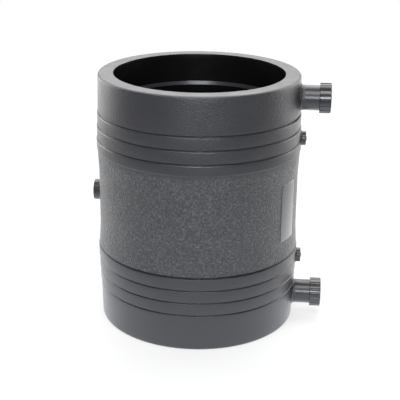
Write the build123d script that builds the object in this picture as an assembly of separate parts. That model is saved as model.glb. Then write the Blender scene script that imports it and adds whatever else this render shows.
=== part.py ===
"""Electrofusion coupler for 90 mm polyethylene pipe, standing on its lower end.

A moulded sleeve joins two pipe ends. One resistance wire lies just under the bore of both
sockets and runs out to two terminal pins, each in a moulded shroud with a push-on cap. A
fusion indicator pin beside each terminal rises when the plastic around the wire has melted.

Millimetres. The pipes' axis is Z, the lower end face is at Z = 0, and the terminals point
along +X. The two ends are nearly alike, so most heights are given as a distance from an end
face.
"""

from build123d import *
import os
from math import cos, pi, sin, tau

# The pipe, and the bore of the sockets around it.
pipe_diameter = 90.0
pipe_clearance = 0.4
entry_clearance = 1.0
entry_length = 16.0
lead_in_length = 2.0
stop_height = 1.6
stop_thickness = 3.0

# The sleeve outside, from its end faces to its waist.
body_length = 138.0
end_wall = 8.5
rim_edge = 0.9
ring_count = 3
ring_step = 0.4
first_groove = 20.3
groove_pitch = 7.2
groove_width = 1.2
groove_depth = 1.3
upper_ring_run = 5.5
texture_recess = 0.35
shoulder_length = 3.0
waist_recess = 1.05

# The terminals: shroud, contact pin and cap.
terminal_inset = 12.2
shroud_outer_diameter = 13.4
shroud_bore_diameter = 10.0
shroud_depth = 15.4
shroud_floor_inset = 1.05
shroud_root_flare = 1.2
contact_diameter = 4.7
contact_height = 10.6
contact_tip_chamfer = 0.7
cap_clearance = 0.08
cap_wall = 0.82
cap_skirt_length = 4.6
cap_top_thickness = 1.6
cap_rib_count = 14
cap_rib_height = 0.4
cap_rib_share = 0.5

# The fusion indicators.
indicator_inset = 34.75
indicator_boss_diameter = 7.8
indicator_boss_rise = 2.45
indicator_pin_diameter = 3.4
indicator_pin_clearance = 0.05
indicator_pin_proud = 0.5
indicator_cover = 1.6

# The gate stub opposite the terminals, and the smooth pad beside them.
gate_stub_diameter = 11.5
gate_stub_rise = 3.7
gate_stub_chamfer = 0.5
pad_width = 14.7
pad_height = 32.0
pad_rise = 0.35
pad_angle = -23.8

# The heating wire.
wire_width = 0.9
wire_cover = 0.35
winding_start = 20.8
winding_pitch = 4.4
winding_turns = 7
chords_per_turn = 20
lead_cover = 0.9
lead_ramp = 1.8

# Worked out from the sizes above.
entry_bore_radius = pipe_diameter / 2 + entry_clearance
fusion_bore_radius = pipe_diameter / 2 + pipe_clearance
band_radius = entry_bore_radius + end_wall
ring_radius = band_radius + ring_count * ring_step
waist_radius = ring_radius - waist_recess
middle = body_length / 2
shroud_floor = band_radius - shroud_floor_inset
shroud_mouth = shroud_floor + shroud_depth
winding_radius = fusion_bore_radius + wire_cover + wire_width / 2
lead_radius = entry_bore_radius + lead_cover + wire_width / 2
indicator_boss_end = ring_radius + indicator_boss_rise
indicator_floor = winding_radius + wire_width / 2 + indicator_cover
end_names = ("lower", "upper")


def from_end(end, inset):
    """The height of a place that lies inset from the named end face."""
    return inset if end == "lower" else body_length - inset


def turned(outline):
    """A solid turned about the X axis from (x, radius) points."""
    return revolve(make_face(Plane.XZ * Polyline(*outline, close=True)), Axis.X)


def sleeve_outside(end):
    """The outside of one half, as (radius, distance from its end face) points.

    A V groove stands before each ring, and each ring is a step prouder than what is before it.
    The lower end has one more groove, where its texture starts. The upper end's last ring runs
    on to its texture instead.
    """
    half_groove = groove_width / 2
    points = [(band_radius - rim_edge, 0), (band_radius, rim_edge)]
    for index in range(ring_count):
        groove = first_groove + index * groove_pitch
        before = band_radius + index * ring_step
        after = before + ring_step
        points.append((before, groove - half_groove))
        points.append((after - groove_depth, groove))
        points.append((after, groove + half_groove))
    if end == "lower":
        last_groove = first_groove + ring_count * groove_pitch
        texture_edge = last_groove + half_groove
        points.append((ring_radius, last_groove - half_groove))
        points.append((ring_radius - groove_depth, last_groove))
        points.append((ring_radius - texture_recess, texture_edge))
    else:
        texture_edge = first_groove + (ring_count - 1) * groove_pitch + upper_ring_run
        points.append((ring_radius, texture_edge))
    points.append((waist_radius, texture_edge + shoulder_length))
    return points


def sleeve_bore():
    """The bore of one half, as (radius, distance from its end face) points."""
    stop_face = middle - stop_thickness / 2
    return [
        (entry_bore_radius, 0),
        (entry_bore_radius, entry_length),
        (fusion_bore_radius, entry_length + lead_in_length),
        (fusion_bore_radius, stop_face),
        (fusion_bore_radius - stop_height, stop_face),
    ]


def mirrored(points):
    """The same points for the upper half, from the middle up."""
    return [(radius, body_length - height) for radius, height in reversed(points)]


def sleeve():
    """The sleeve with its grooves, shoulders, lead-ins and pipe stop."""
    outside = sleeve_outside("lower") + mirrored(sleeve_outside("upper"))
    bore = sleeve_bore() + mirrored(sleeve_bore())
    outline = outside + list(reversed(bore))
    return revolve(make_face(Plane.XZ * Polyline(*outline, close=True)), Axis.Z)


def curved_patch(outer_radius, width, height, angle):
    """A block of wall with a cylindrical face, width wide along it, standing at mid-height."""
    root = outer_radius / 2
    block = Pos(root + outer_radius / 2, 0, 0) * Box(outer_radius / 4, width, height)
    return Pos(0, 0, middle) * Rot(0, 0, angle) * (block & Cylinder(outer_radius, height))


def terminal_shroud():
    """The shroud's outside, with a short flare where it grows out of the sleeve."""
    radius = shroud_outer_diameter / 2
    root = shroud_floor - shroud_root_flare
    return turned([
        (root, 0),
        (root, radius + shroud_root_flare + shroud_floor_inset),
        (band_radius + shroud_root_flare, radius),
        (shroud_mouth, radius),
        (shroud_mouth, 0),
    ])


def shroud_bore():
    return turned([
        (shroud_floor, 0),
        (shroud_floor, shroud_bore_diameter / 2),
        (shroud_mouth, shroud_bore_diameter / 2),
        (shroud_mouth, 0),
    ])


def terminal_contact():
    """The contact pin, standing on the shroud's floor, where the wire meets its foot."""
    tip = shroud_floor + contact_height
    radius = contact_diameter / 2
    return turned([
        (shroud_floor, 0),
        (shroud_floor, radius),
        (tip - contact_tip_chamfer, radius),
        (tip, radius - contact_tip_chamfer),
        (tip, 0),
    ])


def cap_outline():
    """The cap seen along its axis: a round with grip ribs, as a ring of points."""
    valley = shroud_outer_diameter / 2 + cap_clearance + cap_wall
    crest = valley + cap_rib_height
    step = tau / cap_rib_count
    crest_half = step * cap_rib_share / 4
    foot_half = step * cap_rib_share / 2
    points = []
    for index in range(cap_rib_count):
        centre = index * step
        for offset, radius in (
            (-foot_half, valley), (-crest_half, crest), (crest_half, crest), (foot_half, valley)
        ):
            points.append((radius * cos(centre + offset), radius * sin(centre + offset)))
    return points


def terminal_cap():
    """The ribbed cap, pushed over the shroud's end until its top meets the shroud's mouth."""
    skirt_end = shroud_mouth - cap_skirt_length
    length = cap_skirt_length + cap_top_thickness
    blank = extrude(make_face(Polyline(*cap_outline(), close=True)), length)
    inside = Cylinder(
        shroud_outer_diameter / 2 + cap_clearance,
        cap_skirt_length,
        align=(Align.CENTER, Align.CENTER, Align.MIN),
    )
    return Pos(skirt_end, 0, 0) * Rot(0, 90, 0) * (blank - inside)


def indicator_boss():
    root = waist_radius - indicator_boss_rise
    radius = indicator_boss_diameter / 2
    return turned([(root, 0), (root, radius), (indicator_boss_end, radius), (indicator_boss_end, 0)])


def indicator_hole():
    radius = indicator_pin_diameter / 2 + indicator_pin_clearance
    return turned([
        (indicator_floor, 0),
        (indicator_floor, radius),
        (indicator_boss_end, radius),
        (indicator_boss_end, 0),
    ])


def indicator_pin():
    radius = indicator_pin_diameter / 2
    top = indicator_boss_end + indicator_pin_proud
    return turned([(indicator_floor, 0), (indicator_floor, radius), (top, radius), (top, 0)])


def gate_stub():
    """The round stub left of the sleeve where the plastic was let in."""
    radius = gate_stub_diameter / 2
    end = waist_radius + gate_stub_rise
    stub = turned([
        (waist_radius - gate_stub_rise, 0),
        (waist_radius - gate_stub_rise, radius),
        (end - gate_stub_chamfer, radius),
        (end, radius - gate_stub_chamfer),
        (end, 0),
    ])
    return Pos(0, 0, middle) * Rot(0, 0, 180) * stub


def coupler_body():
    """The whole moulding, with its shrouds' bores and its indicators' holes cut in."""
    body = sleeve()
    body += curved_patch(waist_radius + pad_rise, pad_width, pad_height, pad_angle)
    body += gate_stub()
    for end in end_names:
        at_terminal = Pos(0, 0, from_end(end, terminal_inset))
        at_indicator = Pos(0, 0, from_end(end, indicator_inset))
        body += at_terminal * terminal_shroud()
        body += at_indicator * indicator_boss()
        body -= at_terminal * shroud_bore()
        body -= at_indicator * indicator_hole()
    return body


def wire_route():
    """The wire's bends in order, from the lower contact to the upper one."""
    def lead(end):
        start = from_end(end, winding_start)
        ramp_foot = from_end(end, winding_start - lead_ramp)
        terminal = from_end(end, terminal_inset)
        return [
            (shroud_floor, 0, terminal),
            (lead_radius, 0, terminal),
            (lead_radius, 0, ramp_foot),
        ], start

    def winding(first_height):
        # The chords' corners stand out and their middles in, by as much.
        corner_radius = winding_radius * 2 / (1 + cos(pi / chords_per_turn))
        points = []
        for chord in range(winding_turns * chords_per_turn + 1):
            turn = chord / chords_per_turn
            angle = tau * turn
            points.append((
                corner_radius * cos(angle),
                corner_radius * sin(angle),
                first_height + winding_pitch * turn,
            ))
        return points

    lower_lead, lower_start = lead("lower")
    upper_lead, upper_end = lead("upper")
    upper_start = upper_end - winding_turns * winding_pitch
    return lower_lead + winding(lower_start) + winding(upper_start) + list(reversed(upper_lead))


def heating_coil():
    """One wire: lead, lower winding, straight link, upper winding, lead."""
    route = Polyline(*wire_route())
    section = Plane(origin=route @ 0, z_dir=route % 0) * Rectangle(wire_width, wire_width)
    coil = sweep(section, path=route, transition=Transition.RIGHT)
    print("wire length", round(route.length), "volume", round(coil.volume),
          "against", round(route.length * wire_width**2))
    return coil


def write_part(name, shape):
    shape.label = name
    export_step(shape, os.path.join("parts", name + ".step"))


os.makedirs("parts", exist_ok=True)
write_part("coupler_body", coupler_body())
write_part("heating_coil", heating_coil())
for end in end_names:
    at_terminal = Pos(0, 0, from_end(end, terminal_inset))
    at_indicator = Pos(0, 0, from_end(end, indicator_inset))
    write_part(end + "_terminal_pin", at_terminal * terminal_contact())
    write_part(end + "_terminal_cap", at_terminal * terminal_cap())
    write_part(end + "_indicator_pin", at_indicator * indicator_pin())
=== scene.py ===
"""Looks of the electrofusion coupler: its moulded body, terminal caps, indicators, wire and stage.

Laid out as an add-on and run as a script. Everything is in metres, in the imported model's frame:
Z is the pipes' axis with the lower end face at zero, and the terminals point along +X.
"""

from math import atan2, ceil, cos, hypot, pi, radians, sin, sqrt, tan, tau

import bmesh
import bpy
from bpy.props import FloatProperty, FloatVectorProperty, IntProperty, PointerProperty
from mathutils import Matrix, Vector


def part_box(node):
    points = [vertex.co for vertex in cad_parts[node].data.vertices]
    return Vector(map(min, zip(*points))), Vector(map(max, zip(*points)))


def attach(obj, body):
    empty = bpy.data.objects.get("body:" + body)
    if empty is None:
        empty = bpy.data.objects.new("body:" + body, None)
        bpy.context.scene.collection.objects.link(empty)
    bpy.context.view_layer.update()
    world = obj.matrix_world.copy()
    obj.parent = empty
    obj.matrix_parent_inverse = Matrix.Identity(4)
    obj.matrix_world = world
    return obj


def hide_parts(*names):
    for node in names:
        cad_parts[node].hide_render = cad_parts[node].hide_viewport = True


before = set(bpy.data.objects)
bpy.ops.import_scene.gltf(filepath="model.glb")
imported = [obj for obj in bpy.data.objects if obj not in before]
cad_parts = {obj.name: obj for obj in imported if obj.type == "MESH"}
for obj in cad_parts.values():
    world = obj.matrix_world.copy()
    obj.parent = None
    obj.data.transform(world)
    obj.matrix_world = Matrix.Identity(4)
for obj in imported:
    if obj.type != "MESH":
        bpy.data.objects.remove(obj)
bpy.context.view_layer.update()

bl_info = {
    "name": "Electrofusion Coupler",
    "version": (1, 0, 0),
    "blender": (4, 5, 0),
    "location": "3D View > Sidebar > Coupler",
    "description": "Builds a moulded electrofusion coupler with its caps, indicators and studio",
    "category": "Object",
}

MM = 0.001
TINY = 0.001 * MM
ENDS = ("lower", "upper")
RINGS = 3

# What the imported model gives: the body's reach, and the places of its terminals and indicators.
BODY_LOW, BODY_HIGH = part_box("coupler_body")
LENGTH = BODY_HIGH.z
RING_RADIUS = BODY_HIGH.y
SHROUD_MOUTH = BODY_HIGH.x
STUB_REACH = -BODY_LOW.x


def box_centre_height(node):
    low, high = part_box(node)
    return (low.z + high.z) / 2


TERMINAL_HEIGHT = {end: box_centre_height(end + "_terminal_cap") for end in ENDS}
INDICATOR_HEIGHT = {end: box_centre_height(end + "_indicator_pin") for end in ENDS}
CAP_LOW, CAP_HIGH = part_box("lower_terminal_cap")
SHROUD_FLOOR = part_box("lower_terminal_pin")[0].x
PIN_LOW, PIN_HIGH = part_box("lower_indicator_pin")


def linear(hex_colour):
    """An sRGB hex colour as the linear RGBA that Blender works in."""
    channels = [int(hex_colour[i:i + 2], 16) / 255 for i in (1, 3, 5)]
    spread = [c / 12.92 if c <= 0.04045 else ((c + 0.055) / 1.055) ** 2.4 for c in channels]
    return (*spread, 1.0)


def length_property(name, description, millimetres):
    return FloatProperty(
        name=name, description=description, default=millimetres * MM,
        subtype="DISTANCE", unit="LENGTH",
    )


def angle_property(name, description, angle):
    return FloatProperty(
        name=name, description=description, default=angle, subtype="ANGLE", unit="ROTATION",
    )


def colour_property(name, description, hex_colour):
    return FloatVectorProperty(
        name=name, description=description, default=linear(hex_colour), size=4,
        subtype="COLOR", min=0.0, max=1.0,
    )


class CouplerSizes(bpy.types.PropertyGroup):
    """Sizes of the surface detail. The pieces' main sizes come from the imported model."""

    rim_edge: length_property("Rim Edge", "Rounding of the rim's outer edge", 1.3)
    mouth_edge: length_property("Mouth Edge", "Rounding of the rim's inner edge", 0.25)
    entry_bore: length_property("Entry Bore", "Radius of the bore at the mouth", 46.0)
    fusion_bore: length_property("Fusion Bore", "Radius of the bore over the wire", 45.4)
    entry_length: length_property("Entry Length", "Depth of the wider entry bore", 16.0)
    lead_in: length_property("Lead-in", "Length of the taper between the two bores", 2.0)
    stop_height: length_property("Stop Height", "How far the pipe stop stands into the bore", 1.6)
    stop_thickness: length_property("Stop Thickness", "Thickness of the pipe stop", 3.0)
    rim_radius: length_property("Rim Radius", "Outer radius at the rim", 54.25)
    band_radius: length_property("Band Radius", "Radius of the end band at its first groove", 54.8)
    ring_step: length_property("Ring Step", "How much prouder each ring stands", 0.3)
    first_groove: length_property("First Groove", "Its distance from the end face", 20.3)
    groove_pitch: length_property("Groove Pitch", "Distance from groove to groove", 7.2)
    groove_width: length_property("Groove Width", "Width of a groove at its mouth", 1.2)
    groove_depth: length_property("Groove Depth", "Depth of a groove under the ring after it", 1.0)
    waist_radius: length_property("Waist Radius", "Outer radius of the textured waist", 54.65)
    texture_recess: length_property("Texture Recess", "Step down to the texture", 0.35)
    upper_texture_edge: length_property(
        "Upper Texture Edge", "Where the texture starts below the upper end", 40.2,
    )
    shoulder_end: length_property(
        "Shoulder End", "Where the shoulders have run out, from the end face", 54.0,
    )
    ridge_height: length_property("Ridge Height", "How far the buried wire lifts the bore", 0.16)
    shroud_radius: length_property("Shroud Radius", "Outer radius of a terminal shroud", 6.7)
    shroud_bore: length_property("Shroud Bore", "Inner radius of a terminal shroud", 5.0)
    shroud_root: length_property("Shroud Root", "Radius of the fillet at a shroud's root", 0.9)
    boss_radius: length_property("Boss Radius", "Outer radius of an indicator boss", 3.9)
    boss_reach: length_property("Boss Reach", "Distance of a boss's end from the axis", 58.15)
    stub_radius: length_property("Stub Radius", "Radius of the gate stub", 5.75)
    pad_width: length_property("Pad Width", "Width of the smooth pad", 14.7)
    pad_height: length_property("Pad Height", "Height of the smooth pad", 32.0)
    pad_rise: length_property("Pad Rise", "How far the pad stands off the waist", 0.15)
    pad_angle: angle_property("Pad Angle", "Where the pad lies around the axis", radians(-23.8))
    parting_angle: angle_property(
        "Parting Angle", "Where the mould's halves met, around the axis", radians(-84.1),
    )
    parting_width: length_property("Parting Width", "Width of the parting line", 0.35)
    parting_rise: length_property("Parting Rise", "Height of the parting line", 0.04)
    cap_ribs: IntProperty(
        name="Cap Ribs", description="Grip ribs around a terminal cap", default=14, min=3,
    )
    cap_rib_height: length_property("Cap Rib Height", "Height of a cap's grip ribs", 0.4)
    cap_edge: length_property("Cap Edge", "Rounding of a cap's edges", 0.45)
    cap_wall: length_property("Cap Wall", "Wall of a cap's skirt between its ribs", 0.82)
    cap_top: length_property("Cap Top", "Thickness of a cap's top", 1.6)
    cap_dish: length_property("Cap Dish", "Depth of the shallow dish in a cap's top", 0.3)
    lower_cap_turn: angle_property(
        "Lower Cap Turn", "How far round the lower cap sits, against the upper one", radians(15),
    )
    wire_diameter: length_property("Wire Diameter", "Diameter of the resistance wire", 0.9)
    winding_start: length_property("Winding Start", "Distance of a winding from its end", 20.8)
    winding_pitch: length_property("Winding Pitch", "Distance from turn to turn", 4.4)
    winding_turns: IntProperty(
        name="Winding Turns", description="Turns of wire in each socket", default=7, min=1,
    )


class CouplerColours(bpy.types.PropertyGroup):
    """Colours of the pieces and the stage."""

    moulding: colour_property("Moulding", "Black pipe-grade polyethylene", "#1c1c1f")
    moulding_light: colour_property("Flow Marks", "Polyethylene where it flowed last", "#222225")
    # The crests' paler colour is partly wear from handling, partly painted glints.
    texture: colour_property("Texture", "Pits of the spark texture", "#1c1d1e")
    texture_crests_and_glints: colour_property("Texture Crests", "Crests of the spark texture", "#505254")
    # Darker than the moulding: painted shade inside the bore.
    bore: colour_property("Bore", "Polyethylene of the bore", "#0c0c0d")
    faced: colour_property("Faced Rim", "Polyethylene where a tool has faced it", "#434343")
    cap: colour_property("Cap", "Black polypropylene", "#131417")
    indicator: colour_property("Indicator", "Polyethylene of the indicator pins", "#2c2c2d")
    contact: colour_property("Contact", "Tin plate on brass", "#c9c6bd")
    wire: colour_property("Wire", "Bare copper alloy wire", "#b8734f")
    floor: colour_property("Floor", "Pale studio floor", "#f4f4f3")
    backdrop: colour_property("Backdrop", "White backdrop", "#ffffff")
    daylight: colour_property("Daylight", "The cool light in front of the coupler", "#f3f6ff")


class CouplerStage(bpy.types.PropertyGroup):
    """The camera's place, aim and lens."""

    camera_side: length_property("Camera Side", "Offset to the right of the axis", 0.95)
    camera_distance: length_property("Camera Distance", "Distance in front of the axis", 519.1)
    camera_height: length_property("Camera Height", "Height over the floor", 256.9)
    camera_turn: angle_property(
        "Camera Turn", "Turn around the coupler, from square on to the terminals", radians(5.2),
    )
    camera_pitch: angle_property("Camera Pitch", "How far the camera looks down", 0.35421)
    camera_roll: angle_property("Camera Roll", "Roll about the camera's own axis", 0.01084)
    camera_lens: FloatProperty(
        name="Lens", description="Focal length on a 36 mm wide sensor",
        default=89.05, subtype="DISTANCE_CAMERA", unit="CAMERA",
    )


def sizes():
    return bpy.context.scene.coupler_sizes


def colours():
    return bpy.context.scene.coupler_colours


def rounded(corners):
    """Corners (x, y, radius) of an open outline as points, with an arc in place of each corner."""
    arc_step = radians(18)
    most_of_side = 0.49
    points = []
    for index, (x, y, radius) in enumerate(corners):
        if radius == 0 or index in (0, len(corners) - 1):
            points.append((x, y))
            continue
        corner = Vector((x, y))
        back = Vector(corners[index - 1][:2]) - corner
        ahead = Vector(corners[index + 1][:2]) - corner
        half = back.angle(ahead) / 2
        setback = min(radius / tan(half), min(back.length, ahead.length) * most_of_side)
        radius = setback * tan(half)
        start = corner + back.normalized() * setback
        end = corner + ahead.normalized() * setback
        inward = (back.normalized() + ahead.normalized()).normalized()
        centre = corner + inward * radius / sin(half)
        steps = max(2, ceil((pi - 2 * half) / arc_step))
        for step in range(steps + 1):
            arm = (start - centre).slerp(end - centre, step / steps, start - centre)
            points.append(tuple(centre + arm.normalized() * radius))
    return points


def divided(points, longest):
    """The same points, with more on each stretch that is longer than longest."""
    dense = [points[0]]
    for (x0, y0), (x1, y1) in zip(points, points[1:]):
        parts = max(1, ceil(hypot(x1 - x0, y1 - y0) / longest))
        for part in range(1, parts + 1):
            dense.append((x0 + (x1 - x0) * part / parts, y0 + (y1 - y0) * part / parts))
    return dense


def mesh_from_grid(name, rows, closed_rows=False):
    """A mesh skinned over rows of points, each row a closed ring with as many points.

    The last row joins the first if the rows are closed. Otherwise both ends are filled in.
    """
    mesh = bpy.data.meshes.new(name)
    bm = bmesh.new()
    rings = [[bm.verts.new(point) for point in row] for row in rows]
    pairs = list(zip(rings, rings[1:]))
    if closed_rows:
        pairs.append((rings[-1], rings[0]))
    for first, second in pairs:
        count = len(first)
        for i in range(count):
            ahead = (i + 1) % count
            bm.faces.new((first[i], first[ahead], second[ahead], second[i]))
    if not closed_rows:
        for ring in (rings[0], rings[-1]):
            centre = bm.verts.new(sum((v.co for v in ring), Vector()) / len(ring))
            for i in range(len(ring)):
                bm.faces.new((ring[i], ring[(i + 1) % len(ring)], centre))
    bmesh.ops.recalc_face_normals(bm, faces=bm.faces)
    bm.to_mesh(mesh)
    bm.free()
    return mesh


def new_object(name, data):
    """An object in the scene that holds this mesh, lamp or camera."""
    piece = bpy.data.objects.new(name, data)
    bpy.context.scene.collection.objects.link(piece)
    return piece


def turned_rows(points, segments, height):
    """Rings about a line along +X at the given height, from (x, radius) points."""
    turns = [tau * i / segments for i in range(segments)]
    return [
        [(x, radius * cos(turn), height + radius * sin(turn)) for turn in turns]
        for x, radius in points
    ]


def combine(piece, others, operation):
    """Joins the other closed meshes to the piece, or cuts them from it."""
    bm = bmesh.new()
    for other in others:
        bm.from_mesh(other)
    merged = bpy.data.meshes.new("tool")
    bm.to_mesh(merged)
    bm.free()
    tool = new_object("tool", merged)
    step = piece.modifiers.new("Boolean", "BOOLEAN")
    step.operation = operation
    step.solver = "MANIFOLD"
    step.object = tool
    depsgraph = bpy.context.evaluated_depsgraph_get()
    result = bpy.data.meshes.new_from_object(piece.evaluated_get(depsgraph))
    piece.modifiers.clear()
    piece.data = result
    bpy.data.objects.remove(tool)
    if not result.polygons:
        raise RuntimeError(operation + " left nothing of " + piece.name)


def smooth(piece, angle=radians(35)):
    """Smooth shading, with edges kept sharp where faces turn by more than the angle."""
    piece.data.shade_smooth()
    bm = bmesh.new()
    bm.from_mesh(piece.data)
    for edge in bm.edges:
        edge.smooth = len(edge.link_faces) == 2 and edge.calc_face_angle(0) < angle
    bm.to_mesh(piece.data)
    bm.free()


# How finely the sleeve is drawn: around it, along it, and along it over the wire.
SLEEVE_SEGMENTS = 192
ROW_LENGTH = 3 * MM
RIDGE_ROW = 0.55 * MM

# The outlines of the outside and the bore set out on the rim's face, this far from the bore.
RIM_START = 4 * MM

# How far a piece that grows out of the sleeve reaches into its wall.
SUNK = 3 * MM


def outside_corners(end):
    """The sleeve's outside from an end face to its middle.

    Each corner is a radius, a distance from the end face and a rounding. A groove stands before
    each ring. The lower end has one more, where its texture starts.
    """
    size = sizes()
    half = size.groove_width / 2
    lip = {"lower": 0.3 * MM, "upper": 0.45 * MM}[end]
    root = 0.15 * MM
    shoulder_sweep = 60 * MM
    corners = [(size.entry_bore + RIM_START, 0, 0), (size.rim_radius, 0, size.rim_edge)]
    textured = RING_RADIUS - size.texture_recess
    before = size.band_radius
    for index in range(RINGS + 1 if end == "lower" else RINGS):
        groove = size.first_groove + index * size.groove_pitch
        after = before + size.ring_step if index < RINGS else textured
        corners.append((before, groove - half, lip))
        corners.append((after - size.groove_depth, groove, root))
        corners.append((after, groove + half, lip))
        before = after
    if end == "upper":
        edge = size.upper_texture_edge
        corners.append((RING_RADIUS, edge, lip))
        corners.append((textured, edge + size.texture_recess, lip))
    corners.append((size.waist_radius, size.shoulder_end, shoulder_sweep))
    corners.append((size.waist_radius, LENGTH / 2, 0))
    return corners


def bore_corners():
    """The bore of one half, from its end face to the middle, in the same form."""
    size = sizes()
    lead_in_edge, stop_edge = 0.6 * MM, 0.3 * MM
    lead_in_end = size.entry_length + size.lead_in
    stop_face = LENGTH / 2 - size.stop_thickness / 2
    stop_radius = size.fusion_bore - size.stop_height
    return [
        (size.entry_bore + RIM_START, 0, 0),
        (size.entry_bore, 0, size.mouth_edge),
        (size.entry_bore, size.entry_length, lead_in_edge),
        (size.fusion_bore, lead_in_end, lead_in_edge),
        (size.fusion_bore, stop_face, stop_edge),
        (stop_radius, stop_face, stop_edge),
        (stop_radius, LENGTH / 2, 0),
    ]


def texture_range():
    """The lowest and highest height of the spark texture."""
    size = sizes()
    lower = size.first_groove + RINGS * size.groove_pitch + size.groove_width / 2
    return lower, LENGTH - size.upper_texture_edge


def winding_zones():
    """The heights of the first and last turns of the lower winding, and of the upper one."""
    size = sizes()
    span = size.winding_turns * size.winding_pitch
    start, end = size.winding_start, LENGTH - size.winding_start
    return (start, start + span), (end - span, end)


def ridge(angle, height):
    """How far the wire under the bore lifts it at this place."""
    size = sizes()
    width = size.wire_diameter * 1.1
    around = (angle % tau) / tau
    for low, high in winding_zones():
        turn = (height - low) / size.winding_pitch - around
        off = abs(turn - round(turn)) * size.winding_pitch
        nearest = low + (round(turn) + around) * size.winding_pitch
        if off < width and low - TINY <= nearest <= high + TINY:
            return size.ridge_height * (0.5 + 0.5 * cos(pi * off / width))
    return 0.0


def sleeve_mesh():
    """The sleeve alone, turned about Z, with the wire's faint ridges in its bore."""
    size = sizes()
    lower, upper = [divided(rounded(outside_corners(end)), ROW_LENGTH) for end in ENDS]
    corners = rounded(bore_corners())
    bore = []
    for (r0, z0), (r1, z1) in zip(corners, corners[1:]):
        over_wire = z0 > size.entry_length + size.lead_in and abs(r0 - r1) < TINY
        bore += divided([(r0, z0), (r1, z1)], RIDGE_ROW if over_wire else ROW_LENGTH)[:-1]
    bore.append(corners[-1])

    # Up the outside, and down the bore.
    outline = lower[:-1] + [(r, LENGTH - z) for r, z in reversed(upper)][:-1]
    outline += [(r, LENGTH - z) for r, z in bore][:-1]
    outline += list(reversed(bore))[:-1]
    rows = []
    for radius, height in outline:
        inside = radius < size.fusion_bore + TINY
        row = []
        for i in range(SLEEVE_SEGMENTS):
            angle = tau * i / SLEEVE_SEGMENTS
            r = radius - (ridge(angle, height) if inside else 0)
            row.append((r * cos(angle), r * sin(angle), height))
        rows.append(row)
    return mesh_from_grid("coupler_body", rows, closed_rows=True)


def shroud_mesh(end):
    """A shroud's outside, with a root fillet that follows the sleeve's curve."""
    size = sizes()
    segments, fillet_steps = 96, 8
    inset, lift, lip = 0.12 * MM, 0.02 * MM, 0.3 * MM
    foot_depth, plain_start = 0.8 * MM, 0.8 * MM
    centre = TERMINAL_HEIGHT[end]
    surface = size.band_radius - inset
    spread = size.shroud_radius + size.shroud_root

    def follow(distance, rise):
        """A ring at this distance from the shroud's line and this far off the sleeve."""
        row = []
        for i in range(segments):
            y = distance * cos(tau * i / segments)
            z = distance * sin(tau * i / segments)
            row.append((sqrt(surface ** 2 - y ** 2) + rise, y, centre + z))
        return row

    rows = [follow(spread, -foot_depth)]
    for step in range(fillet_steps + 1):
        turn = pi / 2 * step / fillet_steps
        rise = size.shroud_root * (1 - cos(turn)) + lift
        rows.append(follow(spread - size.shroud_root * sin(turn), rise))
    wall = rounded([
        (surface + size.shroud_root + plain_start, size.shroud_radius, 0),
        (SHROUD_MOUTH, size.shroud_radius, lip),
        (SHROUD_MOUTH, size.shroud_bore, 0),
    ])
    rows += turned_rows(divided(wall, longest=2 * MM), segments, centre)
    return mesh_from_grid("shroud", rows)


def boss_mesh(end):
    """An indicator boss with a rounded edge and a small root."""
    size = sizes()
    root, edge = 0.5 * MM, 0.35 * MM
    root_start, root_end = RING_RADIUS - 0.2 * MM, RING_RADIUS + 0.3 * MM
    outline = rounded([
        (size.waist_radius - SUNK, size.boss_radius + root, 0),
        (root_start, size.boss_radius + root, 0),
        (root_end, size.boss_radius, root),
        (size.boss_reach, size.boss_radius, edge),
        (size.boss_reach, size.boss_radius / 3, 0),
    ])
    rows = turned_rows(outline, segments=64, height=INDICATOR_HEIGHT[end])
    return mesh_from_grid("boss", rows)


def stub_mesh():
    """The gate stub, opposite the terminals, with the mark of the cut gate in its end."""
    size = sizes()
    root, edge = 0.6 * MM, 0.25 * MM
    root_start, root_end = size.waist_radius + 0.05 * MM, size.waist_radius + 0.7 * MM
    mark_radius, mark_floor_radius, mark_edge = 2.2 * MM, 1.6 * MM, 0.2 * MM
    mark_floor, middle = STUB_REACH - 0.5 * MM, 0.3 * MM
    outline = rounded([
        (size.waist_radius - SUNK, size.stub_radius + root, 0),
        (root_start, size.stub_radius + root, 0),
        (root_end, size.stub_radius, root),
        (STUB_REACH, size.stub_radius, edge),
        (STUB_REACH, mark_radius, mark_edge),
        (mark_floor, mark_floor_radius, mark_edge),
        (mark_floor, middle, 0),
    ])
    rows = turned_rows(outline, segments=72, height=LENGTH / 2)
    return mesh_from_grid("stub", [[(-x, y, z) for x, y, z in row] for row in rows])


def pad_mesh():
    """The smooth pad: a patch of cylinder that stands off the waist, with rounded corners."""
    size = sizes()
    corner, edge, sunk = 1.2 * MM, 0.12 * MM, 1 * MM
    corner_steps, edge_steps, inner_rings = 6, 3, 24
    half_width, half_height = size.pad_width / 2, size.pad_height / 2
    top = size.waist_radius + size.pad_rise
    outline = []
    for side, level, start in ((1, -1, -pi / 2), (1, 1, 0), (-1, 1, pi / 2), (-1, -1, pi)):
        for step in range(corner_steps + 1):
            turn = start + pi / 2 * step / corner_steps
            outline.append((
                side * (half_width - corner) + corner * cos(turn),
                level * (half_height - corner) + corner * sin(turn),
            ))
    outline = divided(outline + outline[:1], longest=1.5 * MM)[:-1]

    def ring(inset, radius, share=1.0):
        """The outline drawn in by the inset and shrunk to a share, at this radius."""
        row = []
        for across, up in outline:
            angle = size.pad_angle + across * share * (1 - inset / half_width) / top
            height = LENGTH / 2 + up * share * (1 - inset / half_height)
            row.append((radius * cos(angle), radius * sin(angle), height))
        return row

    rows = [ring(0, size.waist_radius - sunk)]
    for step in range(edge_steps + 1):
        turn = pi / 2 * step / edge_steps
        rows.append(ring(edge * (1 - cos(turn)), top - edge * (1 - sin(turn))))
    rows += [ring(edge, top, 1 - step / inner_rings) for step in range(1, inner_rings)]
    return mesh_from_grid("pad", rows)


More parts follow.
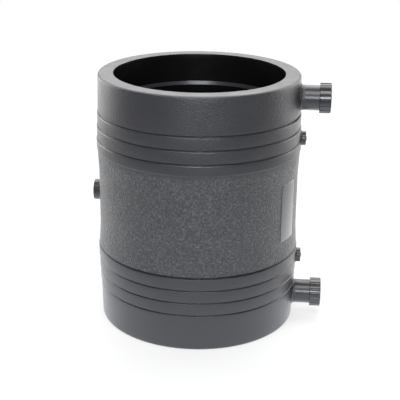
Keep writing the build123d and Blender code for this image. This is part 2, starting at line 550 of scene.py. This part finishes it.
def parting_mesh(angle):
    """The fine raised line where the mould's halves met, which half fills the grooves.

    It dips under the texture and under the rims' rounded edges. Its feet lie as far under the
    surface as its crest stands over it.
    """
    size = sizes()
    texture_dip, rim_dip, rim_run = 0.3 * MM, 0.2 * MM, 5 * MM
    end_inset, sunk = 0.4 * MM, 0.8 * MM
    in_grooves = RING_RADIUS - size.groove_depth * 0.6
    low, high = texture_range()
    lower, upper = [outside_corners(end)[1:-1] for end in ENDS]
    places = [(radius, inset) for radius, inset, _ in lower]
    places += [(radius, LENGTH - inset) for radius, inset, _ in reversed(upper)]
    feet = -size.parting_rise
    rows = []
    for radius, height in places:
        if low < height < high:
            radius -= texture_dip
        elif rim_run < height < LENGTH - rim_run:
            radius = max(radius, in_grooves)
        else:
            radius -= rim_dip
        row = []
        for across, rise in ((-1, feet), (0, size.parting_rise), (1, feet), (0, -sunk)):
            turn = angle + across * size.parting_width / radius
            r = radius + rise
            z = min(max(height, end_inset), LENGTH - end_inset)
            row.append((r * cos(turn), r * sin(turn), z))
        rows.append(row)
    return mesh_from_grid("parting", rows)


def hole_mesh(floor, radius, height, segments):
    """A round cutter along +X with a flat floor, which reaches past the shrouds' mouths."""
    past_mouth = 5 * MM
    outline = [(floor, radius), (SHROUD_MOUTH + past_mouth, radius)]
    return mesh_from_grid("hole", turned_rows(outline, segments, height))


def add_node(tree, kind, inputs=None, **settings):
    """Adds a node, sets its settings, and fills its inputs with values or other nodes' outputs."""
    node = tree.nodes.new(kind)
    for name, value in settings.items():
        setattr(node, name, value)
    for key, value in (inputs or {}).items():
        if isinstance(value, bpy.types.NodeSocket):
            tree.links.new(value, node.inputs[key])
        else:
            node.inputs[key].default_value = value
    return node


def new_material(name):
    """An empty material, its tree, and the object coordinates in it."""
    material = bpy.data.materials.new(name)
    material.use_nodes = True
    tree = material.node_tree
    tree.nodes.clear()
    place = add_node(tree, "ShaderNodeTexCoord").outputs["Object"]
    return material, tree, place


def per_metre(millimetres):
    """A noise's scale for a pattern whose repeats are this far apart."""
    return 1 / (millimetres * MM)


def bands_per_metre(millimetres):
    """A wave's scale for bands about this far apart."""
    return per_metre(millimetres) / tau * 2


# Most of a noise lies between these values.
NOISE_SPAN = {"From Min": 0.3, "From Max": 0.7}

# The refractive index of polyethylene.
HDPE_IOR = 1.51


def moulded_polyethylene(name="HDPE_moulded_satin", grain_height=0.22 * MM, smoothest=0.36):
    """HDPE injected against a turned steel cavity: a satin black gloss with faint turning marks."""
    material, tree, place = new_material(name)
    flow = add_node(tree, "ShaderNodeTexNoise", {
        "Vector": place, "Scale": per_metre(14), "Detail": 3.0,
    })
    grain = add_node(tree, "ShaderNodeTexNoise", {
        "Vector": place, "Scale": per_metre(0.7), "Detail": 1.0,
    })
    tint = add_node(tree, "ShaderNodeMix", {
        "Factor": flow.outputs["Fac"], "A": colours().moulding, "B": colours().moulding_light,
    }, data_type="RGBA")
    roughness = add_node(tree, "ShaderNodeMapRange", {
        "Value": flow.outputs["Fac"], **NOISE_SPAN, "To Min": smoothest, "To Max": smoothest + 0.06,
    })
    turning = add_node(tree, "ShaderNodeTexWave", {
        "Vector": place, "Scale": bands_per_metre(0.55),
        "Distortion": 1.2, "Detail": 2.0, "Detail Scale": 0.6,
    }, bands_direction="Z")
    marks = add_node(tree, "ShaderNodeBump", {
        "Height": turning.outputs["Fac"], "Strength": 0.35, "Distance": 0.004 * MM,
    })
    bump = add_node(tree, "ShaderNodeBump", {
        "Height": grain.outputs["Fac"], "Strength": 1.0, "Distance": grain_height,
        "Normal": marks.outputs["Normal"],
    })
    shader = add_node(tree, "ShaderNodeBsdfPrincipled", {
        "Base Color": tint.outputs["Result"],
        "Roughness": roughness.outputs["Result"],
        "IOR": HDPE_IOR,
        "Normal": bump.outputs["Normal"],
    })
    add_node(tree, "ShaderNodeOutputMaterial", {"Surface": shader.outputs["BSDF"]})
    return material


def insert_moulded_polyethylene():
    """HDPE moulded against a smooth insert, as the shrouds and bosses are: a brighter gloss."""
    return moulded_polyethylene("HDPE_moulded_sheen", grain_height=0.04 * MM, smoothest=0.27)


def spark_textured_polyethylene():
    """HDPE moulded against a spark-eroded cavity: a dull, sparkling grain.

    The real grain is near 0.15 mm. It is drawn at 1 mm, because a finer one is lost in the render.
    Its crests are paler, partly as wear from handling and partly as painted glints. Towards its
    upper edge it is worn nearly smooth.
    """
    material, tree, place = new_material("HDPE_spark_textured")
    grain = add_node(tree, "ShaderNodeTexNoise", {
        "Vector": place, "Scale": per_metre(1.0), "Detail": 2.0, "Roughness": 0.6,
    })
    cloud = add_node(tree, "ShaderNodeTexNoise", {
        "Vector": place, "Scale": per_metre(9), "Detail": 2.0,
    })
    split = add_node(tree, "ShaderNodeSeparateXYZ", {"Vector": place})
    worn_run = 4 * MM
    upper_edge = texture_range()[1]
    kept = add_node(tree, "ShaderNodeMapRange", {
        "Value": split.outputs["Z"], "From Min": upper_edge - worn_run, "From Max": upper_edge,
        "To Min": 1.0, "To Max": 0.15,
    })
    bump = add_node(tree, "ShaderNodeBump", {
        "Height": grain.outputs["Fac"], "Strength": kept.outputs["Result"], "Distance": 1.0 * MM,
    })
    # Paler crests: partly wear from handling, partly painted glints where the grain catches light.
    peaks = add_node(tree, "ShaderNodeMapRange", {
        "Value": grain.outputs["Fac"], "From Min": 0.45, "From Max": 0.75,
    })
    crest_wear_and_glints = add_node(tree, "ShaderNodeMath", {
        0: peaks.outputs["Result"], 1: kept.outputs["Result"],
    }, operation="MULTIPLY")
    tint = add_node(tree, "ShaderNodeMix", {
        "Factor": crest_wear_and_glints.outputs[0], "A": colours().texture, "B": colours().texture_crests_and_glints,
    }, data_type="RGBA")
    roughness = add_node(tree, "ShaderNodeMapRange", {
        "Value": cloud.outputs["Fac"], **NOISE_SPAN, "To Min": 0.36, "To Max": 0.44,
    })
    shader = add_node(tree, "ShaderNodeBsdfPrincipled", {
        "Base Color": tint.outputs["Result"],
        "Roughness": roughness.outputs["Result"],
        "IOR": HDPE_IOR,
        "Normal": bump.outputs["Normal"],
    })
    add_node(tree, "ShaderNodeOutputMaterial", {"Surface": shader.outputs["BSDF"]})
    return material


def rippled_plastic(name, colour, length, height, roughness, detail=3.0, strength=0.3,
                    ior=HDPE_IOR, coat=0.0, coat_roughness=0.0):
    """A moulded skin with one kind of ripple, so long and so high in millimetres.

    The roughness is a lowest and a highest value, which follow the ripple.
    """
    material, tree, place = new_material(name)
    ripple = add_node(tree, "ShaderNodeTexNoise", {
        "Vector": place, "Scale": per_metre(length), "Detail": detail,
    })
    smoothest, roughest = roughness
    gloss = add_node(tree, "ShaderNodeMapRange", {
        "Value": ripple.outputs["Fac"], **NOISE_SPAN, "To Min": smoothest, "To Max": roughest,
    })
    bump = add_node(tree, "ShaderNodeBump", {
        "Height": ripple.outputs["Fac"], "Strength": strength, "Distance": height * MM,
    })
    shader = add_node(tree, "ShaderNodeBsdfPrincipled", {
        "Base Color": colour,
        "Roughness": gloss.outputs["Result"],
        "IOR": ior,
        "Coat Weight": coat,
        "Coat Roughness": coat_roughness,
        "Normal": bump.outputs["Normal"],
    })
    add_node(tree, "ShaderNodeOutputMaterial", {"Surface": shader.outputs["BSDF"]})
    return material


def polished_polyethylene():
    """HDPE moulded against a polished insert: a clear gloss that mirrors its surroundings."""
    return rippled_plastic(
        "HDPE_moulded_gloss", colours().moulding, length=6, height=0.02, detail=2.0,
        roughness=(0.12, 0.12), ior=1.6, coat=0.35, coat_roughness=0.08,
    )


def shaded_bore_polyethylene():
    """HDPE of the bore, moulded on a polished core: deep black with a clear sheen, the black
    darkened as painted shade.
    """
    return rippled_plastic(
        "HDPE_bore_painted_shade", colours().bore, length=5, height=0.03, roughness=(0.18, 0.22),
    )


def moulded_polypropylene():
    """Polypropylene moulded in a polished tool: a harder, brighter gloss than polyethylene."""
    return rippled_plastic(
        "PP_moulded_gloss", colours().cap, length=2.5, height=0.003, roughness=(0.18, 0.22),
        ior=1.49, coat=0.15, coat_roughness=0.1,
    )


def pin_polyethylene():
    """HDPE of the indicator pins, moulded satin: a soft sheen with a fine grain."""
    return rippled_plastic(
        "HDPE_pin_satin", colours().indicator, length=0.6, height=0.02, detail=2.0,
        strength=0.4, roughness=(0.34, 0.42),
    )


def faced_polyethylene():
    """HDPE faced off by a tool: greyer and duller than a moulded skin, with fine rings."""
    material, tree, place = new_material("HDPE_faced")
    split = add_node(tree, "ShaderNodeSeparateXYZ", {"Vector": place})
    flat = add_node(tree, "ShaderNodeCombineXYZ", {
        "X": split.outputs["X"], "Y": split.outputs["Y"],
    })
    rings = add_node(tree, "ShaderNodeTexWave", {
        "Vector": flat.outputs["Vector"], "Scale": bands_per_metre(0.4),
        "Distortion": 0.6, "Detail": 2.0,
    }, wave_type="RINGS", rings_direction="Z")
    cloud = add_node(tree, "ShaderNodeTexNoise", {
        "Vector": place, "Scale": per_metre(8), "Detail": 3.0,
    })
    roughness = add_node(tree, "ShaderNodeMapRange", {
        "Value": cloud.outputs["Fac"], **NOISE_SPAN, "To Min": 0.4, "To Max": 0.5,
    })
    bump = add_node(tree, "ShaderNodeBump", {
        "Height": rings.outputs["Fac"], "Strength": 0.4, "Distance": 0.006 * MM,
    })
    shader = add_node(tree, "ShaderNodeBsdfPrincipled", {
        "Base Color": colours().faced,
        "Roughness": roughness.outputs["Result"],
        "IOR": HDPE_IOR,
        "Normal": bump.outputs["Normal"],
    })
    add_node(tree, "ShaderNodeOutputMaterial", {"Surface": shader.outputs["BSDF"]})
    return material


def tinned_brass():
    """Brass, turned and then tin plated: a soft grey metal with fine turning marks."""
    material, tree, place = new_material("Brass_turned_tinned")
    marks = add_node(tree, "ShaderNodeTexWave", {
        "Vector": place, "Scale": bands_per_metre(0.25), "Distortion": 0.8, "Detail": 2.0,
    }, bands_direction="X")
    tarnish = add_node(tree, "ShaderNodeTexNoise", {
        "Vector": place, "Scale": per_metre(2), "Detail": 3.0,
    })
    roughness = add_node(tree, "ShaderNodeMapRange", {
        "Value": tarnish.outputs["Fac"], **NOISE_SPAN, "To Min": 0.24, "To Max": 0.36,
    })
    bump = add_node(tree, "ShaderNodeBump", {
        "Height": marks.outputs["Fac"], "Strength": 0.4, "Distance": 0.006 * MM,
    })
    shader = add_node(tree, "ShaderNodeBsdfPrincipled", {
        "Base Color": colours().contact,
        "Metallic": 1.0,
        "Roughness": roughness.outputs["Result"],
        "Normal": bump.outputs["Normal"],
    })
    add_node(tree, "ShaderNodeOutputMaterial", {"Surface": shader.outputs["BSDF"]})
    return material


def drawn_copper():
    """Copper alloy, drawn to wire: bright, with duller patches where it has begun to tarnish."""
    material, tree, place = new_material("Copper_alloy_drawn")
    oxide = add_node(tree, "ShaderNodeTexNoise", {
        "Vector": place, "Scale": per_metre(3), "Detail": 3.0,
    })
    roughness = add_node(tree, "ShaderNodeMapRange", {
        "Value": oxide.outputs["Fac"], **NOISE_SPAN, "To Min": 0.25, "To Max": 0.4,
    })
    shader = add_node(tree, "ShaderNodeBsdfPrincipled", {
        "Base Color": colours().wire,
        "Metallic": 1.0,
        "Roughness": roughness.outputs["Result"],
    })
    add_node(tree, "ShaderNodeOutputMaterial", {"Surface": shader.outputs["BSDF"]})
    return material


BODY_FINISHES = [
    moulded_polyethylene, spark_textured_polyethylene, polished_polyethylene, faced_polyethylene,
    shaded_bore_polyethylene, insert_moulded_polyethylene,
]


def waist_surface(height):
    """The sleeve's radius at a height in its textured waist, shoulders and all."""
    size = sizes()
    low, high = texture_range()
    start = RING_RADIUS - size.texture_recess
    if height < LENGTH / 2:
        share = (height - low) / (size.shoulder_end - low)
    else:
        share = (high - height) / (high - LENGTH + size.shoulder_end)
    return start + (size.waist_radius - start) * min(max(share, 0), 1)


def body_finish(centre, normal):
    """The finish that a face of the body has, from its middle and the way it faces."""
    size = sizes()
    radius = hypot(centre.x, centre.y)
    depth = min(centre.z, LENGTH - centre.z)
    low, high = texture_range()
    near = 0.2 * MM

    # The flat of each rim has been faced by a tool.
    faced_depth, flat = 0.45 * MM, 0.7
    if depth < faced_depth and abs(normal.z) > flat:
        return faced_polyethylene

    # The taper in the bore catches more light than the bores around it, which are painted darker as
    # shade.
    bore_margin = 0.5 * MM
    if radius < size.entry_bore + bore_margin:
        on_taper = size.entry_length - near < depth < size.entry_length + size.lead_in
        return insert_moulded_polyethylene if on_taper else shaded_bore_polyethylene

    across_pad = abs(atan2(centre.y, centre.x) - size.pad_angle) * radius
    over_pad = abs(centre.z - LENGTH / 2)
    on_pad = across_pad < size.pad_width / 2 and over_pad < size.pad_height / 2
    if on_pad and radius > size.waist_radius + size.pad_rise * 0.4:
        return polished_polyethylene

    # The shrouds, bosses and stub stand out past the rings.
    ring_margin = 0.4 * MM
    if abs(centre.x) > RING_RADIUS + ring_margin:
        return insert_moulded_polyethylene

    # The lips of the upper rings, where they face up, are polished, but not beside a terminal.
    in_upper_rings = high < centre.z < LENGTH - size.first_groove + size.groove_width
    beside_terminal = centre.x >= 0.9 * RING_RADIUS
    least_up, most_up = 0.12, 0.8
    if in_upper_rings and not beside_terminal and least_up < normal.z < most_up:
        return insert_moulded_polyethylene

    if low < centre.z < high and abs(radius - waist_surface(centre.z)) < near:
        return spark_textured_polyethylene
    return moulded_polyethylene


class COUPLER_OT_body(bpy.types.Operator):
    """Build the moulded body with its shrouds, bosses, gate stub, pad and grooves"""

    bl_idname = "coupler.body"
    bl_label = "Moulded Body"

    def execute(self, context):
        size = sizes()
        body = new_object("moulded_body", sleeve_mesh())
        joined = [pad_mesh(), stub_mesh()]
        joined += [parting_mesh(size.parting_angle), parting_mesh(size.parting_angle + pi)]
        joined += [shroud_mesh(end) for end in ENDS]
        joined += [boss_mesh(end) for end in ENDS]
        combine(body, joined, "UNION")
        clearance = 0.05 * MM
        pin_hole = PIN_HIGH.y + clearance
        cuts = []
        for end in ENDS:
            terminal, indicator = TERMINAL_HEIGHT[end], INDICATOR_HEIGHT[end]
            cuts.append(hole_mesh(SHROUD_FLOOR, size.shroud_bore, terminal, segments=72))
            cuts.append(hole_mesh(PIN_LOW.x, pin_hole, indicator, segments=48))
        combine(body, cuts, "DIFFERENCE")
        body.data.materials.clear()
        for make in BODY_FINISHES:
            body.data.materials.append(make())
        for face in body.data.polygons:
            face.material_index = BODY_FINISHES.index(body_finish(face.center, face.normal))
        smooth(body)
        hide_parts("coupler_body")
        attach(body, "coupler")
        return {"FINISHED"}


def rib_rise(angle):
    """How far a cap's ribs stand out at this angle: rounded ribs, with equal valleys between."""
    size = sizes()
    half_rib, flank = 0.25, 0.12
    phase = (angle * size.cap_ribs / tau) % 1.0
    off = min(phase, 1 - phase)
    share = min(1.0, max(0.0, (half_rib - off) / flank))
    return size.cap_rib_height * share * share * (3 - 2 * share)


def cap_mesh(end):
    """A terminal cap: ribbed skirt, rounded edges, a shallow dish and a gate mark in its top."""
    size = sizes()
    points_per_rib, edge_steps = 16, 6
    segments = size.cap_ribs * points_per_rib
    clearance, mouth_edge, corner, hold = 0.08 * MM, 0.2 * MM, 0.3 * MM, 0.1 * MM
    turned_on = size.lower_cap_turn if end == "lower" else 0.0
    height = TERMINAL_HEIGHT[end]
    start, top = CAP_LOW.x, CAP_HIGH.x
    ceiling = top - size.cap_top
    inner = size.shroud_radius + clearance
    valley = inner + size.cap_wall
    edge = size.cap_edge
    rim = valley - edge
    dish = size.cap_dish

    # Each row: x, radius, and how much of the ribs it has. They fade over the top's rounded edge.
    faded = 0.6
    outline = [
        (ceiling, 0.2 * MM, 0), (ceiling, inner - corner, 0), (ceiling - corner, inner, 0),
        (start + mouth_edge, inner, 0), (start, inner + mouth_edge, 0),
        (start, valley - edge / 2, 0.2), (start + edge * 0.15, valley - edge * 0.15, 0.7),
        (start + edge / 2, valley, 1.0), (start + edge / 2 + hold, valley, 1.0),
        (top - edge - hold, valley, 1.0),
    ]
    for step in range(edge_steps + 1):
        share = step / edge_steps
        x = top - edge + edge * sin(pi / 2 * share)
        outline.append((x, rim + edge * cos(pi / 2 * share), 1 - share * faded))

    # The flat of the top, the dish, and the gate mark that stands in the dish.
    outline += [
        (top, rim - 0.5 * MM, 0), (top - dish * 0.3, rim - 0.7 * MM, 0),
        (top - dish, rim - 1.1 * MM, 0), (top - dish, 1.0 * MM, 0),
        (top - dish * 0.5, 0.7 * MM, 0), (top - dish * 0.45, 0.2 * MM, 0),
    ]
    rows = []
    for x, radius, ribbed in outline:
        row = []
        for i in range(segments):
            angle = tau * i / segments
            r = radius + ribbed * rib_rise(angle + turned_on)
            row.append((x, r * cos(angle), height + r * sin(angle)))
        rows.append(row)
    return mesh_from_grid(end + "_ribbed_cap", rows)


class COUPLER_OT_caps(bpy.types.Operator):
    """Build the ribbed cap on each terminal shroud"""

    bl_idname = "coupler.caps"
    bl_label = "Terminal Caps"

    def execute(self, context):
        finish = moulded_polypropylene()
        for end in ENDS:
            cap = new_object(end + "_ribbed_cap", cap_mesh(end))
            cap.data.materials.append(finish)
            smooth(cap)
            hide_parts(end + "_terminal_cap")
            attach(cap, end + "_cap")
        return {"FINISHED"}


def indicator_mesh(end):
    """An indicator pin, with a low dome for its top and a small chamfer at its foot."""
    radius = PIN_HIGH.y
    dome_rise, dome_steps, chamfer = 0.75 * MM, 8, 0.2 * MM
    outline = [(PIN_LOW.x, radius - chamfer), (PIN_LOW.x + chamfer, radius)]
    for step in range(dome_steps, 0, -1):
        turn = pi / 2 * step / dome_steps
        outline.append((PIN_HIGH.x - dome_rise * (1 - cos(turn)), radius * sin(turn)))
    rows = turned_rows(outline, segments=48, height=INDICATOR_HEIGHT[end])
    return mesh_from_grid(end + "_domed_indicator", rows)


class COUPLER_OT_indicators(bpy.types.Operator):
    """Build the domed fusion indicator pins"""

    bl_idname = "coupler.indicators"
    bl_label = "Fusion Indicators"

    def execute(self, context):
        finish = pin_polyethylene()
        for end in ENDS:
            pin = new_object(end + "_domed_indicator", indicator_mesh(end))
            pin.data.materials.append(finish)
            smooth(pin)
            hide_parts(end + "_indicator_pin")
            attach(pin, end + "_indicator")
        return {"FINISHED"}


class COUPLER_OT_contacts(bpy.types.Operator):
    """Give the terminals' contact pins their tinned finish"""

    bl_idname = "coupler.contacts"
    bl_label = "Contact Pins"

    def execute(self, context):
        finish = tinned_brass()
        for end in ENDS:
            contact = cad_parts[end + "_terminal_pin"]
            contact.data.materials.clear()
            contact.data.materials.append(finish)
        return {"FINISHED"}


def wire_path():
    """The wire's middle line from the lower contact to the upper one."""
    size = sizes()
    steps = 48
    winding_depth, lead_depth = 0.8 * MM, 1.35 * MM
    winding = size.fusion_bore + winding_depth
    lead = size.entry_bore + lead_depth
    lower, upper = TERMINAL_HEIGHT["lower"], TERMINAL_HEIGHT["upper"]
    points = [(SHROUD_FLOOR, 0, lower), (lead, 0, lower)]
    for start, _ in winding_zones():
        for step in range(size.winding_turns * steps + 1):
            turn = step / steps
            height = start + size.winding_pitch * turn
            points.append((winding * cos(tau * turn), winding * sin(tau * turn), height))
    points += [(lead, 0, upper), (SHROUD_FLOOR, 0, upper)]
    return [Vector(point) for point in points]


def wire_mesh():
    """A round wire along its path. Where that runs straight out, its rings are turned to +Y."""
    sides, least_length = 8, 0.2
    radius = sizes().wire_diameter / 2
    path = wire_path()
    rows = []
    for index, point in enumerate(path):
        ahead = path[min(index + 1, len(path) - 1)] - path[max(index - 1, 0)]
        along = ahead.normalized()
        outward = Vector((point.x, point.y, 0)).normalized()
        side = along.cross(outward)
        side = side.normalized() if side.length > least_length else Vector((0, 1, 0))
        up = side.cross(along).normalized()
        rows.append([
            point + radius * (side * cos(tau * i / sides) + up * sin(tau * i / sides))
            for i in range(sides)
        ])
    return mesh_from_grid("resistance_wire", rows)


class COUPLER_OT_wire(bpy.types.Operator):
    """Wind the resistance wire in the wall of both sockets"""

    bl_idname = "coupler.wire"
    bl_label = "Heating Wire"

    def execute(self, context):
        wire = new_object("resistance_wire", wire_mesh())
        wire.data.materials.append(drawn_copper())
        smooth(wire, radians(60))
        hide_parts("heating_coil")
        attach(wire, "coupler")
        return {"FINISHED"}


def floor_material():
    """Matt white laminate: pale for the camera, with a painted pool of light in reflections, and it
    keeps a faint shadow.
    """
    material, tree, place = new_material("Laminate_matt_white")
    away = add_node(tree, "ShaderNodeVectorMath", {0: place}, operation="LENGTH").outputs["Value"]
    back = add_node(tree, "ShaderNodeSeparateXYZ", {"Vector": place}).outputs["Y"]
    path = add_node(tree, "ShaderNodeLightPath").outputs
    fades = {}
    for name, distance, first, last, low, high in (
        # A painted pool of light on the floor, seen only in reflections: brightest beside the
        # coupler, and behind it.
        ("beside", away, 0.08, 0.36, 2.5, 0.6),
        ("painted_pool_behind", back, 0.02, 0.25, 0.0, 2.0),
        # How white the camera sees it. The lit floor shows through near the coupler.
        ("white", away, 0.22, 0.6, 0.58, 1.0),
        # Inside the coupler the floor is as dark as it really is.
        ("outside", away, 0.046, 0.054, 0.1, 1.0),
        # Painted reflection: reflections show the front half in the tint of daylight.
        ("untinted", back, -0.05, 0.05, 0.0, 1.0),
    ):
        fades[name] = add_node(tree, "ShaderNodeMapRange", {
            "Value": distance, "From Min": first, "From Max": last, "To Min": low, "To Max": high,
        }).outputs["Result"]
    painted_pool = add_node(tree, "ShaderNodeMath", {
        0: fades["beside"], 1: fades["painted_pool_behind"],
    }, operation="MAXIMUM")
    mirrored = add_node(tree, "ShaderNodeMath", {
        0: path["Is Glossy Ray"], 1: path["Is Transmission Ray"],
    }, operation="MAXIMUM")
    mirrored = add_node(tree, "ShaderNodeMath", {
        0: mirrored.outputs[0], 1: 0.8,
    }, operation="MULTIPLY")
    seen = add_node(tree, "ShaderNodeMath", {
        0: path["Is Camera Ray"], 1: fades["white"],
    }, operation="MULTIPLY")
    share = add_node(tree, "ShaderNodeMath", {
        0: seen.outputs[0], 1: mirrored.outputs[0],
    }, operation="MAXIMUM")
    share = add_node(tree, "ShaderNodeMath", {
        0: share.outputs[0], 1: fades["outside"],
    }, operation="MULTIPLY")
    # Reflections see the painted pool of light; the camera sees plain white.
    strength = add_node(tree, "ShaderNodeMix", {
        "Factor": path["Is Camera Ray"], "A": painted_pool.outputs[0], "B": 1.0,
    })
    neutral = add_node(tree, "ShaderNodeMath", {
        0: path["Is Camera Ray"], 1: fades["untinted"],
    }, operation="MAXIMUM")
    tint = add_node(tree, "ShaderNodeMix", {
        "Factor": neutral.outputs[0], "A": colours().daylight, "B": colours().backdrop,
    }, data_type="RGBA")
    lit = add_node(tree, "ShaderNodeBsdfDiffuse", {"Color": colours().floor})
    white = add_node(tree, "ShaderNodeEmission", {
        "Color": tint.outputs["Result"], "Strength": strength.outputs["Result"],
    })
    mix = add_node(tree, "ShaderNodeMixShader", {
        0: share.outputs[0], 1: lit.outputs["BSDF"], 2: white.outputs["Emission"],
    })
    add_node(tree, "ShaderNodeOutputMaterial", {"Surface": mix.outputs["Shader"]})
    return material


def studio_world():
    """White where it is seen or mirrored, and a plain soft fill for everything else."""
    world = bpy.data.worlds.new("studio")
    world.use_nodes = True
    tree = world.node_tree
    tree.nodes.clear()
    path = add_node(tree, "ShaderNodeLightPath").outputs
    seen = add_node(tree, "ShaderNodeMath", {
        0: path["Is Camera Ray"], 1: path["Is Glossy Ray"],
    }, operation="MAXIMUM")
    seen = add_node(tree, "ShaderNodeMath", {
        0: seen.outputs[0], 1: path["Is Transmission Ray"],
    }, operation="MAXIMUM")
    direction = add_node(tree, "ShaderNodeTexCoord").outputs["Generated"]
    towards = add_node(tree, "ShaderNodeSeparateXYZ", {"Vector": direction})
    # Reflections show the room behind the camera darker than the backdrop.
    room = add_node(tree, "ShaderNodeMapRange", {
        "Value": towards.outputs["Y"], "From Min": -0.5, "From Max": 0.3,
        "To Min": 0.6, "To Max": 1.0,
    })
    strength = add_node(tree, "ShaderNodeMix", {
        "Factor": path["Is Camera Ray"], "A": room.outputs["Result"], "B": 1.0,
    })
    fill = add_node(tree, "ShaderNodeBackground", {"Color": colours().backdrop, "Strength": 0.2})
    white = add_node(tree, "ShaderNodeBackground", {
        "Color": colours().backdrop, "Strength": strength.outputs["Result"],
    })
    mix = add_node(tree, "ShaderNodeMixShader", {
        0: seen.outputs[0], 1: fill.outputs["Background"], 2: white.outputs["Background"],
    })
    add_node(tree, "ShaderNodeOutputWorld", {"Surface": mix.outputs["Shader"]})
    return world


def soft_box(name, azimuth, elevation, distance, width, height, radiance, colour):
    """An area lamp of one radiance over its face, aimed at the coupler's middle.

    Azimuth 0 is in front, square on to the terminals, and grows to the right. Angles in degrees.
    """
    turn, rise = radians(azimuth), radians(elevation)
    towards = Vector((sin(turn) * cos(rise), -cos(turn) * cos(rise), sin(rise)))
    lamp = bpy.data.lights.new(name, "AREA")
    lamp.shape = "RECTANGLE"
    lamp.size = width
    lamp.size_y = height
    lamp.energy = radiance * pi * width * height
    lamp.color = colour[:3]
    holder = new_object(name, lamp)
    holder.location = towards * distance + Vector((0, 0, LENGTH / 2))
    holder.rotation_euler = (-towards).to_track_quat("-Z", "Y").to_euler()
    holder.visible_camera = False


def place_camera():
    """Stands the camera as the stage's values say. It looks along +Y before its turn."""
    scene = bpy.context.scene
    view = scene.coupler_stage
    lens = bpy.data.cameras.new("camera")
    lens.sensor_width = 36.0
    lens.lens = view.camera_lens
    camera = new_object("camera", lens)
    stand = Vector((view.camera_side, -view.camera_distance, view.camera_height))
    camera.matrix_world = (
        Matrix.Rotation(view.camera_turn, 4, "Z")
        @ Matrix.Translation(stand)
        @ Matrix.Rotation(pi / 2 - view.camera_pitch, 4, "X")
        @ Matrix.Rotation(view.camera_roll, 4, "Z")
    )
    scene.camera = camera


class COUPLER_OT_stage(bpy.types.Operator):
    """Set the floor, the lamps, the backdrop and the camera"""

    bl_idname = "coupler.stage"
    bl_label = "Stage"

    def execute(self, context):
        reach = 6.0
        corners = [(-reach, -reach, 0), (reach, -reach, 0), (reach, reach, 0), (-reach, reach, 0)]
        floor_mesh = bpy.data.meshes.new("floor")
        floor_mesh.from_pydata(corners, [], [(0, 1, 2, 3)])
        floor = new_object("floor", floor_mesh)
        floor.data.materials.append(floor_material())
        context.scene.world = studio_world()
        white, daylight = colours().backdrop, colours().daylight
        # Each lamp: azimuth, elevation, distance, width, height, radiance and colour.
        soft_box("front_top_box", 0, 60, 0.7, 0.5, 0.3, 6.5, white)
        soft_box("front_box", 5, 18, 0.9, 0.42, 0.16, 20.0, daylight)
        soft_box("back_box", 180, 48, 0.9, 1.0, 0.8, 3.5, white)
        soft_box("left_box", -120, 12, 0.8, 0.4, 0.5, 4.5, white)
        soft_box("right_box", 125, 12, 0.8, 0.4, 0.5, 4.6, white)
        place_camera()
        context.scene.view_settings.view_transform = "Standard"
        return {"FINISHED"}


class COUPLER_PT_sidebar(bpy.types.Panel):
    """Lists the steps that build the coupler"""

    bl_idname = "COUPLER_PT_sidebar"
    bl_label = "Electrofusion Coupler"
    bl_space_type = "VIEW_3D"
    bl_region_type = "UI"
    bl_category = "Coupler"

    def draw(self, context):
        for operator in OPERATORS:
            self.layout.operator(operator.bl_idname)


OPERATORS = (
    COUPLER_OT_stage, COUPLER_OT_body, COUPLER_OT_caps, COUPLER_OT_indicators,
    COUPLER_OT_contacts, COUPLER_OT_wire,
)
GROUPS = (CouplerSizes, CouplerColours, CouplerStage)
CLASSES = (*GROUPS, *OPERATORS, COUPLER_PT_sidebar)


def register():
    for each in CLASSES:
        bpy.utils.register_class(each)
    bpy.types.Scene.coupler_sizes = PointerProperty(type=CouplerSizes)
    bpy.types.Scene.coupler_colours = PointerProperty(type=CouplerColours)
    bpy.types.Scene.coupler_stage = PointerProperty(type=CouplerStage)


def unregister():
    del bpy.types.Scene.coupler_stage
    del bpy.types.Scene.coupler_colours
    del bpy.types.Scene.coupler_sizes
    for each in reversed(CLASSES):
        bpy.utils.unregister_class(each)


def main():
    register()
    bpy.ops.coupler.stage()
    bpy.ops.coupler.body()
    bpy.ops.coupler.caps()
    bpy.ops.coupler.indicators()
    bpy.ops.coupler.contacts()
    bpy.ops.coupler.wire()


if __name__ == "__main__":
    main()
